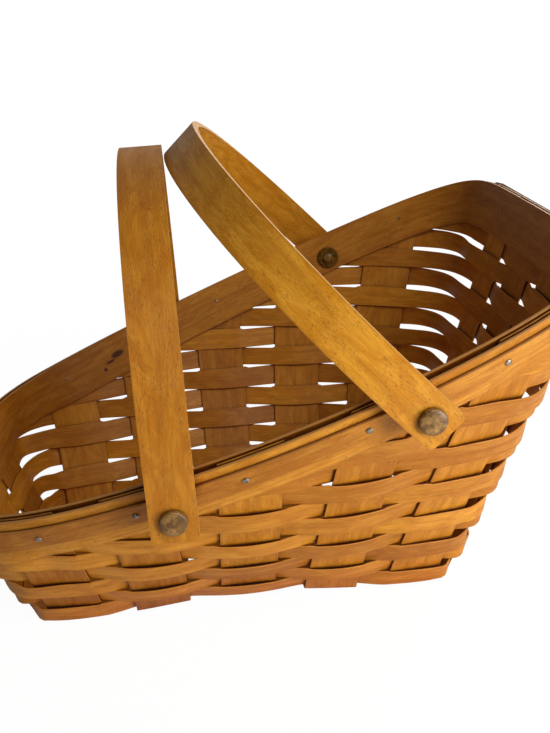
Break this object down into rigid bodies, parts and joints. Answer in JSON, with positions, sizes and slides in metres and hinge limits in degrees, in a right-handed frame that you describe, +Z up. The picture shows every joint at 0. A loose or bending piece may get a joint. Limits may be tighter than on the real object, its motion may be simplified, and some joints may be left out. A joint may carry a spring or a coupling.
{
  "type": "vegetable basket",
  "caption": "Woven wood-splint vegetable basket with a slanted rim, rim bands, and flat bentwood swing handles riveted to the rim.",
  "frame": {"origin": "below the middle of the whole basket, on the level that it stands on", "axes": "+X from the low shallow end to the high deep end, +Y across the basket along the handles' pivot lines, away from the side that faces the camera, +Z up"},
  "size_m": [0.327, 0.258, 0.2443],
  "materials": {
    "maple_splint": "satin stain",
    "maple_band": "satin stain",
    "maple_handle": "satin stain",
    "maple_slat": "satin stain",
    "tack_steel": "dull metal",
    "rivet_head": "worn stain",
    "washer_brass": "dark aged metal"
  },
  "bodies": {
    "basket": {"cross_splint_1": "maple_splint", "cross_splint_2": "maple_splint", "cross_splint_3": "maple_splint", "cross_splint_4": "maple_splint", "cross_splint_5": "maple_splint", "end_slat": "maple_slat", "inner_band": "maple_band", "lengthwise_splint_1": "maple_splint", "lengthwise_splint_2": "maple_splint", "lengthwise_splint_3": "maple_splint", "outer_band": "maple_band", "rivet_back_far": "rivet_head", "rivet_back_near": "rivet_head", "rivet_front_far": "rivet_head", "rivet_front_near": "rivet_head", "slat_tack_1": "tack_steel", "slat_tack_2": "tack_steel", "tack_deep_1": "tack_steel", "tack_deep_3": "tack_steel", "tack_far_1": "tack_steel", "tack_far_2": "tack_steel", "tack_far_3": "tack_steel", "tack_far_4": "tack_steel", "tack_far_5": "tack_steel", "tack_near_1": "tack_steel", "tack_near_2": "tack_steel", "tack_near_3": "tack_steel", "tack_near_4": "tack_steel", "tack_near_5": "tack_steel", "tack_shallow_1": "tack_steel", "tack_shallow_2": "tack_steel", "tack_shallow_3": "tack_steel", "trim_strip": "maple_band", "washer_back_far": "washer_brass", "washer_back_near": "washer_brass", "washer_front_far": "washer_brass", "washer_front_near": "washer_brass", "weaver_row_01": "maple_splint", "weaver_row_02": "maple_splint", "weaver_row_03": "maple_splint", "weaver_row_04": "maple_splint", "weaver_row_05": "maple_splint", "weaver_row_06": "maple_splint", "weaver_row_07": "maple_splint", "weaver_row_08": "maple_splint", "weaver_row_09": "maple_splint", "weaver_row_10": "maple_splint", "weaver_row_11": "maple_splint", "weaver_row_12": "maple_splint", "weaver_row_13": "maple_splint", "weaver_row_14": "maple_splint"},
    "front_handle": {"front_handle": "maple_handle"},
    "back_handle": {"back_handle": "maple_handle"}
  },
  "joints": [
    {"name": "front_handle_swing", "type": "hinge", "parent": "basket", "child": "front_handle", "pos_m": [-0.04807, 0, 0.09978], "axis": [0, 1, 0], "range_deg": [-126, 0]},
    {"name": "back_handle_swing", "type": "hinge", "parent": "basket", "child": "back_handle", "pos_m": [0.05993, 0, 0.14124], "axis": [0, 1, 0], "range_deg": [0, 84]}
  ]
}
